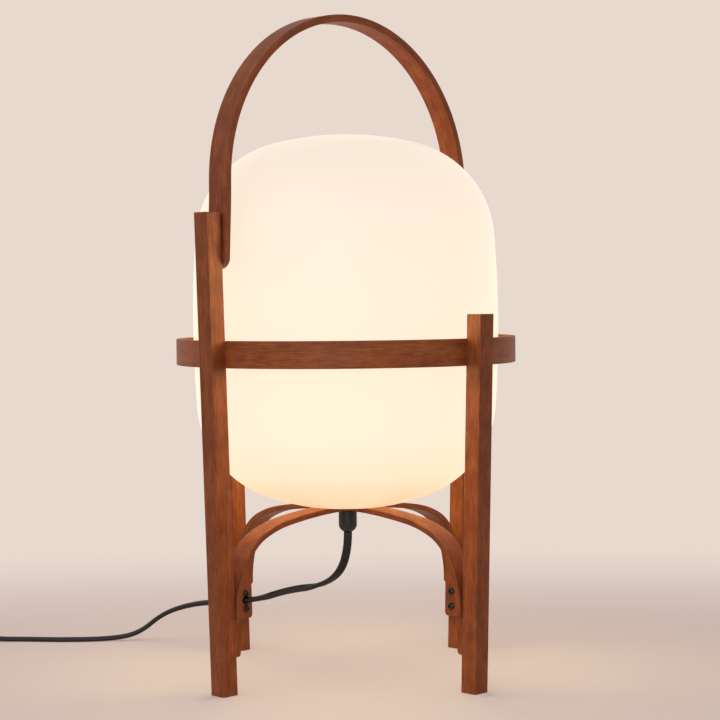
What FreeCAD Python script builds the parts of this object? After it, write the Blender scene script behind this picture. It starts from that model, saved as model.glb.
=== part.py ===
# Lantern table lamp: an opal globe stands on two crossed bent-wood arches inside four
# leaning legs, with a bent-wood hoop round its waist and a bent-wood carrying handle over it.
# Millimetres. Origin on the lamp's axis at floor level, +Z up, front at -Y.
# Each call of make() writes one sub-part to parts/NAME.step.
import FreeCAD
import MeshPart
import Part
import math
import os

V = FreeCAD.Vector
UP = V(0, 0, 1)

# ---- driving dimensions -------------------------------------------------------------
# legs: square bars that lean outwards, so the feet stand closer together than the tops
LEG_SIDE = 16.0
LEG_LEAN = 1.8  # degrees
LEG_EASED = 0.8
TALL_LEG_TOP = 404.0
SHORT_LEG_TOP = 317.6
AZIMUTH = {"front_left": 225, "front_right": 315, "back_left": 135, "back_right": 45}
TALL_LEGS = ("front_left", "back_right")
SHORT_LEGS = ("front_right", "back_left")

# hoop: bent strip on edge, let into the legs' inner faces by a shallow housing
HOOP_RADIUS = 150.0
HOOP_THICK = 4.5
HOOP_LOW = 274.5
HOOP_HIGH = 297.3
HOOP_LET_IN = 0.9

# handle: bent strip flat-wise over the globe, screwed inside the two tall legs
HANDLE_RADIUS = 149.5
HANDLE_TOP = 580.5
HANDLE_THICK = 6.6
HANDLE_WIDE = 21.6
HANDLE_END = 357.0
HANDLE_SPLAY = 2.6  # degrees, the straight ends spread outwards
HANDLE_EASING_RADIUS = 500.0

# arches: two crossed strips that carry the globe; outer radii and turns from leg to crown
ARCH_WIDE = 20.0
ARCH_THICK = 5.0
ARCH_SPRING = 64.4  # height at which a strip leaves its leg
ARCH_END = 31.0
ARCH_BENDS = ((93.7, 30.0 + LEG_LEAN), (48.1, 35.0), (106.2, 15.0))
ARCH_CROWN_TURN = 10.0
TONGUE_WIDE = 15.0
TONGUE_SHOULDER = 64.0
SHOULDER_ROUND = 2.5
TONGUE_CORNER = 4.0

# globe: blown opal shade, turned from tangent arcs, open below
GLOBE_RADIUS = 135.0
GLOBE_TOP = 475.8
GLOBE_WALL = 3.0
GLOBE_MOUTH = 38.0
GLOBE_SEAT_GAP = 0.4
GLOBE_CAP_RADIUS = 257.0
GLOBE_SHOULDER_RADIUS = 90.0
GLOBE_SIDE_RADIUS = 1010.0
GLOBE_BASE_RADIUS = 210.0

# lampholder stack on the axis
NIPPLE_RADIUS = 5.0
NIPPLE_BORE = 3.5
FIT_GAP = 0.05
SEAT_PLATE_RADIUS = 36.0
SEAT_PLATE_THICK = 2.0
NUT_THICK = 4.0
NUT_ACROSS = 15.0
HOLDER_RADIUS = 20.0
HOLDER_HIGH = 55.0
BULB_RADIUS = 30.0
BULB_CAP_RADIUS = 13.2
BULB_GAP = 0.3

# gland under the crossing
GLAND_RADIUS = 8.1
GLAND_HIGH = 20.0
GLAND_DOME = 6.0
GRIP_SCREW_RADIUS = 1.5

# screws
SCREW_SHANK = 1.75
SCREW_HEAD = 3.5
SCREW_HEAD_HIGH = 2.5
SCREW_IN_WOOD = 11.0
ARCH_SCREW_HEIGHTS = (40.5, 54.6)
HANDLE_SCREW_HEIGHTS = (363.5, 376.0)
SLOT_WIDE = 0.9
SLOT_DEEP = 1.1

# cord: a flat twin lead; the plain tube has the same section area
CORD_RADIUS = 2.8
CORD_HOLE_WIDE = 9.4
CORD_HOLE_HIGH = 6.4
FLOOR_LINE = CORD_RADIUS + 0.1

# in-line switch, coil and plug, which lie on the floor beyond the left of the lamp
SWITCH_LONG = 58.0
SWITCH_WIDE = 24.0
SWITCH_END_WIDE = 12.0
SWITCH_SPLIT = 7.0
SWITCH_HIGH = 14.5
SWITCH_ROUND = 2.5
SWITCH_CENTRE = V(-401.0, 160.5, 0)
ROCKER_LONG = 19.2
ROCKER_WIDE = 9.4
ROCKER_AXLE = 1.2
ROCKER_AXLE_HEIGHT = 11.2
ROCKER_REST_TILT = 7.0
ROCKER_GAP = 0.4
COIL_CENTRE = V(-484.0, 113.5, 0)
COIL_OUTER = 47.0
COIL_PITCH = 6.4
COIL_LAYER = 7.6
COIL_TURNS_PER_LAYER = 2.0
PLUG_LONG = 36.0
PLUG_WIDE = 26.0
PLUG_THICK = 13.6
PLUG_ENTRY_HEIGHT = 7.0
PIN_RADIUS = 2.0
PIN_LONG = 19.0
PIN_SPACING = 19.0
PIN_ROOT = 8.0
SLEEVE_RADIUS = 1.7
SLEEVE_LONG = 10.0

# ---- derived places -----------------------------------------------------------------
LEAN_SLOPE = math.tan(math.radians(LEG_LEAN))
HOOP_MIDDLE = (HOOP_LOW + HOOP_HIGH) / 2


def leg_face(z):
    """Distance of a leg's inner face from the lamp's axis at height z."""
    return HOOP_RADIUS - HOOP_LET_IN + LEAN_SLOPE * (z - HOOP_MIDDLE)


def run_and_rise(radius, start, turn):
    """How far an arc goes sideways and up, from heading start degrees, turning down."""
    first = math.radians(start)
    last = math.radians(start - turn)
    return (
        radius * (math.sin(first) - math.sin(last)),
        radius * (math.cos(last) - math.cos(first)),
    )


def crown():
    """The arch's last radius, which brings it level on the axis, and its top height."""
    reach = leg_face(ARCH_SPRING)
    height = ARCH_SPRING
    heading = 90.0 + LEG_LEAN
    for radius, turn in ARCH_BENDS:
        run, rise = run_and_rise(radius, heading, turn)
        reach -= run
        height += rise
        heading -= turn
    radius = reach / math.sin(math.radians(ARCH_CROWN_TURN))
    return radius, height + run_and_rise(radius, heading, ARCH_CROWN_TURN)[1]


CROWN_RADIUS, ARCH_TOP = crown()
ARCH_UNDER = ARCH_TOP - ARCH_THICK
LAP_PLANE = ARCH_TOP - ARCH_THICK / 2
MOUTH_DROP = CROWN_RADIUS - math.sqrt(CROWN_RADIUS**2 - GLOBE_MOUTH**2)
GLOBE_RIM = ARCH_TOP - MOUTH_DROP + GLOBE_SEAT_GAP
GLOBE_BASE = GLOBE_RIM - GLOBE_BASE_RADIUS + math.sqrt(GLOBE_BASE_RADIUS**2 - GLOBE_MOUTH**2)
SEAT_PLATE_TOP = ARCH_TOP + SEAT_PLATE_THICK
HOLDER_FOOT = SEAT_PLATE_TOP + NUT_THICK
HOLDER_RIM = HOLDER_FOOT + HOLDER_HIGH
GLAND_MOUTH = ARCH_UNDER - GLAND_HIGH

MESH_SAG = 0.5  # how coarse the printed triangle counts are, in millimetres and in radians
MESH_TURN = 0.5

os.makedirs("parts", exist_ok=True)
triangles = 0


def make(name, *solids):
    """Write one sub-part and say what it measures."""
    global triangles
    for solid in solids:
        if not solid.isValid() or solid.Volume <= 0:
            raise ValueError(name + ": bad solid")
    shape = solids[0] if len(solids) == 1 else Part.makeCompound(list(solids))
    shape.exportStep("parts/" + name + ".step")
    mesh = MeshPart.meshFromShape(
        Shape=shape, LinearDeflection=MESH_SAG, AngularDeflection=MESH_TURN, Relative=False
    )
    triangles += mesh.CountFacets
    print("%-22s %9.1f mm3 %6d triangles" % (name, shape.Volume, mesh.CountFacets))
    return shape


def one(shape):
    """The single solid in a Boolean's result."""
    if len(shape.Solids) != 1:
        raise ValueError("expected one solid, got %d" % len(shape.Solids))
    return shape.Solids[0]


# ---- small helpers ------------------------------------------------------------------
def line(a, b):
    return Part.LineSegment(a, b).toShape()


def arc(a, middle, b):
    return Part.Arc(a, middle, b).toShape()


def chain(*points):
    """Straight edges through the points, in order."""
    return [line(a, b) for a, b in zip(points, points[1:])]


OFF_CORNER = 1 - math.sin(math.pi / 4)  # a quarter round's middle from each side, per radius


def face(edges):
    return Part.Face(Part.Wire(edges))


def rz(r, z):
    """A point of a turned or bent profile: r out along +X, z up."""
    return V(r, 0, z)


def turned(edges):
    """Solid of revolution about the lamp's axis."""
    return one(face(edges).revolve(V(0, 0, 0), UP, 360))


def turned_outline(*points):
    corners = [rz(*p) for p in points]
    return turned(chain(*corners, corners[0]))


def about_axis(shape, degrees):
    copy = shape.copy()
    copy.rotate(V(0, 0, 0), UP, degrees)
    return copy


def box(low, high):
    size = high - low
    return Part.makeBox(size.x, size.y, size.z, low)


def slab(points, width):
    """A prism whose outline lies in the X-Z plane, centred on it."""
    corners = [rz(*p) for p in points]
    prism = face(chain(*corners, corners[0])).extrude(V(0, width, 0))
    prism.translate(V(0, -width / 2, 0))
    return one(prism)


def leg_direction():
    """Unit vector along a leg at azimuth 0."""
    lean = math.radians(LEG_LEAN)
    return V(math.sin(lean), 0, math.cos(lean))


# ---- bent strips --------------------------------------------------------------------
def bent_strip(start, heading, steps, thickness, width, eased):
    """A strip that starts at (x, z), heading that many degrees up from +X, outer face first.

    A step is a straight length, or (outer radius, turn): a positive turn bends the strip
    to the right, towards its inner face, and a negative one to the left.
    """
    x, z = start
    angle = math.radians(heading)
    outer = []
    inner = []

    def places(x, z, angle):
        """The two points across the strip, on its outer and on its inner face."""
        return rz(x, z), rz(x + thickness * math.sin(angle), z - thickness * math.cos(angle))

    for step in steps:
        before = places(x, z, angle)
        if isinstance(step, float):
            x += step * math.cos(angle)
            z += step * math.sin(angle)
            after = places(x, z, angle)
            outer.append(line(before[0], after[0]))
            inner.append(line(before[1], after[1]))
            continue
        radius, turn = step
        side = math.copysign(1.0, turn)
        centre_x = x + side * radius * math.sin(angle)
        centre_z = z - side * radius * math.cos(angle)

        def on_arc(share):
            a = angle - math.radians(turn) * share
            return places(
                centre_x - side * radius * math.sin(a),
                centre_z + side * radius * math.cos(a),
                a,
            )

        middle = on_arc(0.5)
        after = on_arc(1.0)
        outer.append(arc(before[0], middle[0], after[0]))
        inner.append(arc(before[1], middle[1], after[1]))
        angle -= math.radians(turn)
        x, z = after[0].x, after[0].z
    first = outer[0].Vertexes[0].Point, inner[0].Vertexes[0].Point
    last = outer[-1].Vertexes[-1].Point, inner[-1].Vertexes[-1].Point
    closed = outer + [line(last[0], last[1])] + inner[::-1] + [line(first[1], first[0])]
    solid = one(Part.Face(Part.Wire(Part.__sortEdges__(closed))).extrude(V(0, width, 0)))
    solid.translate(V(0, -width / 2, 0))
    along = [e for e in solid.Edges if abs(e.Vertexes[0].Y - e.Vertexes[-1].Y) < 1e-6]
    ends = [p for pair in (first, last) for p in pair]
    long_edges = [
        e
        for e in along
        if not all(min(abs(v.X - p.x) + abs(v.Z - p.z) for p in ends) < 1e-6 for v in e.Vertexes)
        or e.Length > 2 * thickness
    ]
    return one(solid.makeFillet(eased, long_edges))


def tongue_outline(end, top, width, corner, shoulder=None, full=None):
    """A strip's outline seen from the axis, as a prism through both its ends."""
    half = width / 2
    right = [
        arc(
            V(0, half - corner, end),
            V(0, half - corner * OFF_CORNER, end + corner * OFF_CORNER),
            V(0, half, end + corner),
        )
    ]
    if shoulder is None:
        right.append(line(V(0, half, end + corner), V(0, half, top)))
    else:
        out = full / 2 + 1.0
        round_ = SHOULDER_ROUND
        side = half + round_
        right.append(line(V(0, half, end + corner), V(0, half, shoulder - round_)))
        right.append(
            arc(
                V(0, half, shoulder - round_),
                V(0, half + round_ * OFF_CORNER, shoulder - round_ * OFF_CORNER),
                V(0, side, shoulder),
            )
        )
        right.append(line(V(0, side, shoulder), V(0, out, shoulder + 0.6)))
        right.append(line(V(0, out, shoulder + 0.6), V(0, out, top)))
    left = [e.mirror(V(0, 0, 0), V(0, 1, 0)) for e in right]
    corner_top = right[-1].Vertexes[-1].Point
    edges = right + left + [line(corner_top, V(0, -corner_top.y, top))]
    if corner < half:
        edges.append(line(V(0, -(half - corner), end), V(0, half - corner, end)))
    profile = Part.Face(Part.Wire(Part.__sortEdges__(edges)))
    prism = profile.extrude(V(2 * HOOP_RADIUS + 80, 0, 0))
    prism.translate(V(-HOOP_RADIUS - 40, 0, 0))
    return one(prism)


# ---- screws -------------------------------------------------------------------------
def pan_screw(length):
    """A cross-slotted pan-head screw: head seat at the origin, head towards +X."""
    dome = SCREW_HEAD_HIGH
    head = [
        line(V(0, 0, 0), V(0, SCREW_HEAD, 0)),
        line(V(0, SCREW_HEAD, 0), V(0.5 * dome, SCREW_HEAD, 0)),
        arc(V(0.5 * dome, SCREW_HEAD, 0), V(0.86 * dome, 0.7 * SCREW_HEAD, 0), V(dome, 0, 0)),
        line(V(dome, 0, 0), V(0, 0, 0)),
    ]
    shank = chain(
        V(0, 0, 0),
        V(0, SCREW_SHANK, 0),
        V(-length + 2 * SCREW_SHANK, SCREW_SHANK, 0),
        V(-length, 0, 0),
        V(0, 0, 0),
    )
    solids = [face(edges).revolve(V(0, 0, 0), V(1, 0, 0), 360) for edges in (head, shank)]
    screw = solids[0].fuse(solids[1]).removeSplitter()
    arm = 0.62 * SCREW_HEAD
    for long_y, long_z in ((arm, SLOT_WIDE / 2), (SLOT_WIDE / 2, arm)):
        screw = screw.cut(box(V(dome - SLOT_DEEP, -long_y, -long_z), V(2 * dome, long_y, long_z)))
    return one(screw)


def countersunk_screw(length):
    """A flat-head screw with its head's face at the origin, pointing along -X."""
    edges = chain(
        V(0, 0, 0),
        V(0, SCREW_HEAD, 0),
        V(-0.4, SCREW_HEAD, 0),
        V(-0.4 - SCREW_HEAD + SCREW_SHANK, SCREW_SHANK, 0),
        V(-length + 2 * SCREW_SHANK, SCREW_SHANK, 0),
        V(-length, 0, 0),
        V(0, 0, 0),
    )
    return one(face(edges).revolve(V(0, 0, 0), V(1, 0, 0), 360))


def towards_axis(shape, r, z, azimuth, lean):
    """Turn a screw that faces +X round to the lamp's axis, seated at (r, z) on a leaning face."""
    copy = shape.copy()
    copy.rotate(V(0, 0, 0), UP, 180)
    copy.rotate(V(0, 0, 0), V(0, 1, 0), lean)
    copy.translate(V(r, 0, z))
    return about_axis(copy, azimuth)


def drilled(shape, holes):
    """Cut clearance holes for screws: each is (r, z, azimuth, head seat to tip, lean)."""
    for r, z, azimuth, length, lean in holes:
        drill = Part.makeCylinder(SCREW_SHANK + FIT_GAP, length + 0.5, V(0, 0, 0), V(-1, 0, 0))
        shape = shape.cut(towards_axis(drill, r, z, azimuth, lean))
    return one(shape)


def screws(pattern, holes):
    """A copy of the screw in each hole."""
    return [towards_axis(pattern, r, z, azimuth, lean) for r, z, azimuth, _, lean in holes]


SEAT_SLACK = 0.02  # keeps a head's seat off the wood
ARCH_SCREW_LONG = ARCH_THICK + SCREW_IN_WOOD
ARCH_SCREW_SEAT = ARCH_THICK / math.cos(math.radians(LEG_LEAN)) + SEAT_SLACK
ARCH_HOLES = {
    leg: [
        (leg_face(z) - ARCH_SCREW_SEAT, z, angle, ARCH_SCREW_LONG, LEG_LEAN)
        for z in ARCH_SCREW_HEIGHTS
    ]
    for leg, angle in AZIMUTH.items()
}


HANDLE_CENTRE = HANDLE_TOP - HANDLE_RADIUS
HANDLE_SLOPE = math.radians(HANDLE_SPLAY)
HANDLE_EASING_DROP = HANDLE_EASING_RADIUS * (1 - math.cos(HANDLE_SLOPE))
HANDLE_STRAIGHT_TOP = HANDLE_CENTRE - HANDLE_EASING_RADIUS * math.sin(HANDLE_SLOPE)


def handle_face(z):
    """Distance of the handle's inner face from the axis, on its straight end."""
    top = HANDLE_RADIUS + HANDLE_EASING_DROP - HANDLE_THICK / math.cos(HANDLE_SLOPE)
    return top + (HANDLE_STRAIGHT_TOP - z) * math.tan(HANDLE_SLOPE)


HANDLE_SCREW_LONG = HANDLE_THICK + SCREW_IN_WOOD
HANDLE_HOLES = {
    leg: [
        (handle_face(z) - SEAT_SLACK, z, AZIMUTH[leg], HANDLE_SCREW_LONG, -HANDLE_SPLAY)
        for z in HANDLE_SCREW_HEIGHTS
    ]
    for leg in TALL_LEGS
}
HOOP_SCREW_LONG = HOOP_THICK + 9.0
HOOP_HOLES = {
    leg: [(HOOP_RADIUS - HOOP_THICK, HOOP_MIDDLE, angle, HOOP_SCREW_LONG, 0.0)]
    for leg, angle in AZIMUTH.items()
}


def all_of(holes, legs=AZIMUTH):
    """The holes of the named legs in one list."""
    return [hole for name in legs for hole in holes[name]]


# ---- cord hole ----------------------------------------------------------------------
# the cord goes straight through the back left leg and the end of its arch, sloping down
CORD_HOLE_START = V(-86.3, 86.3, 49.9)
CORD_HOLE_END = V(-123.7, 123.7, 42.7)


def cord_hole():
    """A flat slot along the cord's straight run."""
    direction = CORD_HOLE_END - CORD_HOLE_START
    length = direction.Length
    half = (CORD_HOLE_WIDE - CORD_HOLE_HIGH) / 2
    round_ = CORD_HOLE_HIGH / 2
    slot = Part.makeBox(length, 2 * half, 2 * round_, V(0, -half, -round_))
    for side in (-half, half):
        slot = slot.fuse(Part.makeCylinder(round_, length, V(0, side, 0), V(1, 0, 0)))
    slot = slot.removeSplitter()
    fall = math.degrees(math.asin(-direction.z / length))
    slot.rotate(V(0, 0, 0), V(0, 1, 0), fall)
    slot.rotate(V(0, 0, 0), UP, AZIMUTH["back_left"])
    slot.translate(CORD_HOLE_START)
    return one(slot)


# ---- legs ---------------------------------------------------------------------------
def hoop_blank(low, high, thick):
    """A plain ring in the hoop's place."""
    return turned_outline(
        (HOOP_RADIUS - thick, low), (HOOP_RADIUS, low), (HOOP_RADIUS, high), (HOOP_RADIUS - thick, high)
    )


def leg(name):
    """A leaning square bar with a housing for the hoop and pilot holes for its screws."""
    top = TALL_LEG_TOP if name in TALL_LEGS else SHORT_LEG_TOP
    depth = LEG_SIDE / math.cos(math.radians(LEG_LEAN))
    bar = slab(
        [
            (leg_face(0), 0),
            (leg_face(0) + depth, 0),
            (leg_face(top) + depth, top),
            (leg_face(top), top),
        ],
        LEG_SIDE,
    )
    along = leg_direction()
    arrises = [
        e
        for e in bar.Edges
        if abs((e.Vertexes[1].Point - e.Vertexes[0].Point).normalize().dot(along)) > 0.999
    ]
    bar = about_axis(bar.makeFillet(LEG_EASED, arrises), AZIMUTH[name])
    bar = bar.cut(hoop_blank(HOOP_LOW, HOOP_HIGH, 2 * HOOP_THICK))
    holes = ARCH_HOLES[name] + HOOP_HOLES[name] + HANDLE_HOLES.get(name, [])
    if name == "back_left":
        bar = bar.cut(cord_hole())
    return drilled(bar, holes)


# ---- hoop, handle and arches --------------------------------------------------------
def hoop():
    ring = hoop_blank(HOOP_LOW, HOOP_HIGH, HOOP_THICK)
    ring = one(ring.makeFillet(LEG_EASED, [e for e in ring.Edges if e.isClosed()]))
    ring = drilled(ring, all_of(HOOP_HOLES))
    for sink in screws(countersink(), all_of(HOOP_HOLES)):
        ring = ring.cut(sink)
    return one(ring)


def countersink():
    edges = chain(
        V(1, 0, 0),
        V(1, SCREW_HEAD + FIT_GAP, 0),
        V(-0.4, SCREW_HEAD + FIT_GAP, 0),
        V(-0.4 - SCREW_HEAD + SCREW_SHANK, SCREW_SHANK + FIT_GAP, 0),
        V(-0.4 - SCREW_HEAD + SCREW_SHANK, 0, 0),
        V(1, 0, 0),
    )
    return one(face(edges).revolve(V(0, 0, 0), V(1, 0, 0), 360))


def past_leg_face(low, high):
    """The space outside the inner faces of two opposite legs, at azimuth 0."""
    outline = [
        (leg_face(low), low),
        (leg_face(low) + 3 * LEG_SIDE, low),
        (leg_face(high) + 3 * LEG_SIDE, high),
        (leg_face(high), high),
    ]
    right = slab(outline, 2 * HANDLE_WIDE)
    return right, right.mirror(V(0, 0, 0), V(1, 0, 0))


def carry_handle():
    straight = (HANDLE_STRAIGHT_TOP - HANDLE_END) / math.cos(math.radians(HANDLE_SPLAY))
    start_x = -(HANDLE_RADIUS + HANDLE_EASING_DROP + straight * math.sin(math.radians(HANDLE_SPLAY)))
    half = [straight, (HANDLE_EASING_RADIUS, -HANDLE_SPLAY), (HANDLE_RADIUS, 90.0)]
    strip = bent_strip(
        (start_x, HANDLE_END),
        90.0 - HANDLE_SPLAY,
        half + half[::-1],
        HANDLE_THICK,
        HANDLE_WIDE,
        LEG_EASED,
    )
    strip = strip.common(
        tongue_outline(HANDLE_END, HANDLE_TOP + 20, HANDLE_WIDE, HANDLE_WIDE / 2 - 0.01)
    )
    for outside in past_leg_face(HANDLE_END - 20, HANDLE_END + 30):
        strip = strip.cut(outside)
    strip = about_axis(strip, AZIMUTH["back_right"])
    return drilled(strip, all_of(HANDLE_HOLES, TALL_LEGS))


def arch(legs):
    """One crossed strip, narrowed to a tongue on each of its two legs."""
    end_run = (ARCH_SPRING - ARCH_END) / math.cos(math.radians(LEG_LEAN))
    half = [end_run, *ARCH_BENDS, (CROWN_RADIUS, ARCH_CROWN_TURN)]
    strip = bent_strip(
        (-leg_face(ARCH_END), ARCH_END),
        90.0 + LEG_LEAN,
        half + half[::-1],
        ARCH_THICK,
        ARCH_WIDE,
        LEG_EASED,
    )
    strip = strip.common(
        tongue_outline(
            ARCH_END, ARCH_TOP + 20, TONGUE_WIDE, TONGUE_CORNER, TONGUE_SHOULDER, ARCH_WIDE
        )
    )
    strip = strip.cut(Part.makeCylinder(NIPPLE_RADIUS + FIT_GAP, 40, V(0, 0, ARCH_UNDER - 20)))
    over = legs == TALL_LEGS
    waste = box(
        V(-ARCH_WIDE / 2, -ARCH_WIDE, LAP_PLANE - 10 if over else LAP_PLANE),
        V(ARCH_WIDE / 2, ARCH_WIDE, LAP_PLANE if over else LAP_PLANE + 10),
    )
    strip = about_axis(strip.cut(waste), AZIMUTH[legs[0]])
    if "back_left" in legs:
        strip = strip.cut(cord_hole())
    return drilled(strip, all_of(ARCH_HOLES, legs))


# ---- globe --------------------------------------------------------------------------
def touching_centre(flat, flat_radius, side, side_radius, radius):
    """Centre of an arc of that radius inside two arcs of larger radii."""
    a = flat_radius - radius
    b = side_radius - radius
    gap = side - flat
    along = (a * a - b * b + gap.Length**2) / (2 * gap.Length)
    across = math.sqrt(a * a - along * along)
    unit = V(gap.x, gap.y, gap.z).normalize()
    middle = flat + unit * along
    normal = V(-unit.z, 0, unit.x) * across
    return max(middle + normal, middle - normal, key=lambda p: p.x)


def globe_skin(inset):
    """Edges of the globe's profile from its mouth up to the axis, set in by that much."""
    middle = (GLOBE_TOP + GLOBE_BASE) / 2
    side = rz(GLOBE_RADIUS - GLOBE_SIDE_RADIUS, middle)
    side_radius = GLOBE_SIDE_RADIUS - inset
    shoulder_radius = GLOBE_SHOULDER_RADIUS - inset
    edges = []
    waist = rz(GLOBE_RADIUS - inset, middle)

    def on(centre, radius, towards):
        return centre + (towards - centre).normalize() * radius

    def between(centre, radius, a, b):
        return arc(a, on(centre, radius, (a + b) * 0.5), b)

    base = rz(0, GLOBE_BASE + GLOBE_BASE_RADIUS)
    cap = rz(0, GLOBE_TOP - GLOBE_CAP_RADIUS)
    low = touching_centre(base, GLOBE_BASE_RADIUS, side, GLOBE_SIDE_RADIUS, GLOBE_SHOULDER_RADIUS)
    high = touching_centre(cap, GLOBE_CAP_RADIUS, side, GLOBE_SIDE_RADIUS, GLOBE_SHOULDER_RADIUS)
    base_radius = GLOBE_BASE_RADIUS - inset
    cap_radius = GLOBE_CAP_RADIUS - inset
    mouth = rz(GLOBE_MOUTH, base.z - math.sqrt(base_radius**2 - GLOBE_MOUTH**2))
    low_flat = base + (low - base).normalize() * base_radius
    low_side = side + (low - side).normalize() * side_radius
    high_side = side + (high - side).normalize() * side_radius
    high_flat = cap + (high - cap).normalize() * cap_radius
    top = rz(0, GLOBE_TOP - inset)
    edges.append(between(base, base_radius, mouth, low_flat))
    edges.append(between(low, shoulder_radius, low_flat, low_side))
    edges.append(between(side, side_radius, low_side, waist))
    edges.append(between(side, side_radius, waist, high_side))
    edges.append(between(high, shoulder_radius, high_side, high_flat))
    edges.append(between(cap, cap_radius, high_flat, top))
    return edges, mouth, top


def globe():
    outer, outer_mouth, outer_top = globe_skin(0.0)
    inner, inner_mouth, inner_top = globe_skin(GLOBE_WALL)
    closed = outer + inner + [line(outer_mouth, inner_mouth), line(outer_top, inner_top)]
    return turned(Part.__sortEdges__(closed))


# ---- lampholder stack ---------------------------------------------------------------
def seat_plate():
    """Pressed disc that centres the globe's mouth over the crossing."""
    hole = NIPPLE_RADIUS + FIT_GAP
    return turned_outline(
        (hole, ARCH_TOP),
        (SEAT_PLATE_RADIUS - 0.6, ARCH_TOP),
        (SEAT_PLATE_RADIUS, ARCH_TOP + 0.6),
        (SEAT_PLATE_RADIUS, SEAT_PLATE_TOP),
        (hole, SEAT_PLATE_TOP),
    )


def threaded_nipple():
    low = GLAND_MOUTH + GLAND_DOME + 2
    high = HOLDER_FOOT + 8
    return turned_outline(
        (NIPPLE_BORE, low), (NIPPLE_RADIUS, low), (NIPPLE_RADIUS, high), (NIPPLE_BORE, high)
    )


def lock_nut():
    corner = NUT_ACROSS / math.sqrt(3)
    points = [
        V(corner * math.cos(math.radians(a)), corner * math.sin(math.radians(a)), SEAT_PLATE_TOP)
        for a in range(0, 360, 60)
    ]
    nut = face(chain(*points, points[0])).extrude(V(0, 0, NUT_THICK))
    bore = Part.makeCylinder(NIPPLE_RADIUS + FIT_GAP, 2 * NUT_THICK, V(0, 0, SEAT_PLATE_TOP - 1))
    return one(nut.cut(bore))


HOLDER_WALL = 2.5
HOLDER_FLOOR = HOLDER_FOOT + 9.0
CONTACT_BASE_TOP = HOLDER_FLOOR + 9.0
CONTACT_HIGH = 3.0
BULB_TIP = CONTACT_BASE_TOP + CONTACT_HIGH + BULB_GAP
BULB_CAP_FOOT = BULB_TIP + 2.5
BULB_CAP_TOP = BULB_CAP_FOOT + 27.0
BULB_CENTRE = BULB_TIP + 76.0


def lampholder_shell():
    inside = HOLDER_RADIUS - HOLDER_WALL
    neck = NIPPLE_RADIUS + FIT_GAP
    return turned_outline(
        (neck, HOLDER_FOOT),
        (HOLDER_RADIUS - 8, HOLDER_FOOT),
        (HOLDER_RADIUS - 6, HOLDER_FOOT + 4),
        (HOLDER_RADIUS, HOLDER_FOOT + 12),
        (HOLDER_RADIUS, HOLDER_RIM - 9),
        (HOLDER_RADIUS + 1.5, HOLDER_RIM - 8),
        (HOLDER_RADIUS + 1.5, HOLDER_RIM - 1),
        (HOLDER_RADIUS + 0.5, HOLDER_RIM),
        (inside, HOLDER_RIM),
        (inside, HOLDER_FLOOR),
        (neck, HOLDER_FLOOR),
    )


def contact_block():
    """Ceramic block in the holder's floor that carries both contacts."""
    inside = HOLDER_RADIUS - HOLDER_WALL - FIT_GAP
    return turned_outline(
        (0, HOLDER_FLOOR), (inside, HOLDER_FLOOR), (inside, CONTACT_BASE_TOP), (0, CONTACT_BASE_TOP)
    )


def centre_contact():
    """Sprung tab under the bulb's tip."""
    tab = box(V(-9, -2.5, CONTACT_BASE_TOP), V(-6, 2.5, CONTACT_BASE_TOP + 0.8))
    rise = slab(
        [
            (-6, CONTACT_BASE_TOP),
            (-6, CONTACT_BASE_TOP + 0.8),
            (-1, CONTACT_BASE_TOP + CONTACT_HIGH),
            (3, CONTACT_BASE_TOP + CONTACT_HIGH),
            (3, CONTACT_BASE_TOP + CONTACT_HIGH - 0.8),
            (-0.6, CONTACT_BASE_TOP + CONTACT_HIGH - 0.8),
        ],
        5.0,
    )
    return one(tab.fuse(rise).removeSplitter())


def threaded_insert():
    """The screw shell that grips the bulb's cap."""
    bore = BULB_CAP_RADIUS + BULB_GAP
    top = BULB_CAP_TOP - 4
    return turned_outline(
        (bore, CONTACT_BASE_TOP), (bore + 1, CONTACT_BASE_TOP), (bore + 1, top), (bore, top)
    )


def bulb_cap():
    return turned_outline(
        (0, BULB_TIP),
        (3.5, BULB_TIP),
        (4.5, BULB_TIP + 1.0),
        (9.0, BULB_CAP_FOOT),
        (BULB_CAP_RADIUS, BULB_CAP_FOOT + 3.0),
        (BULB_CAP_RADIUS, BULB_CAP_TOP),
        (0, BULB_CAP_TOP),
    )


def bulb_skin(inset):
    """Profile of the bulb's glass: a waisted neck that swells into a ball."""
    radius = BULB_RADIUS - inset
    foot = rz(BULB_CAP_RADIUS + 0.6 - inset, BULB_CAP_TOP)
    waist = rz(17.4 - inset, BULB_CAP_TOP + 15)
    angle = math.radians(-28)
    middle = math.radians(31)
    meet = rz(radius * math.cos(angle), BULB_CENTRE + radius * math.sin(angle))
    side = rz(radius * math.cos(middle), BULB_CENTRE + radius * math.sin(middle))
    top = rz(0, BULB_CENTRE + radius)
    return [arc(foot, waist, meet), arc(meet, side, top)], foot, top


def bulb_glass():
    outer, outer_foot, outer_top = bulb_skin(0.0)
    inner, inner_foot, inner_top = bulb_skin(1.2)
    closed = outer + inner + [line(outer_foot, inner_foot), line(outer_top, inner_top)]
    return turned(Part.__sortEdges__(closed))


# ---- gland and the lead inside it ---------------------------------------------------
GRIP_SCREW_HEIGHT = GLAND_MOUTH + GLAND_DOME + 0.2


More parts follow.
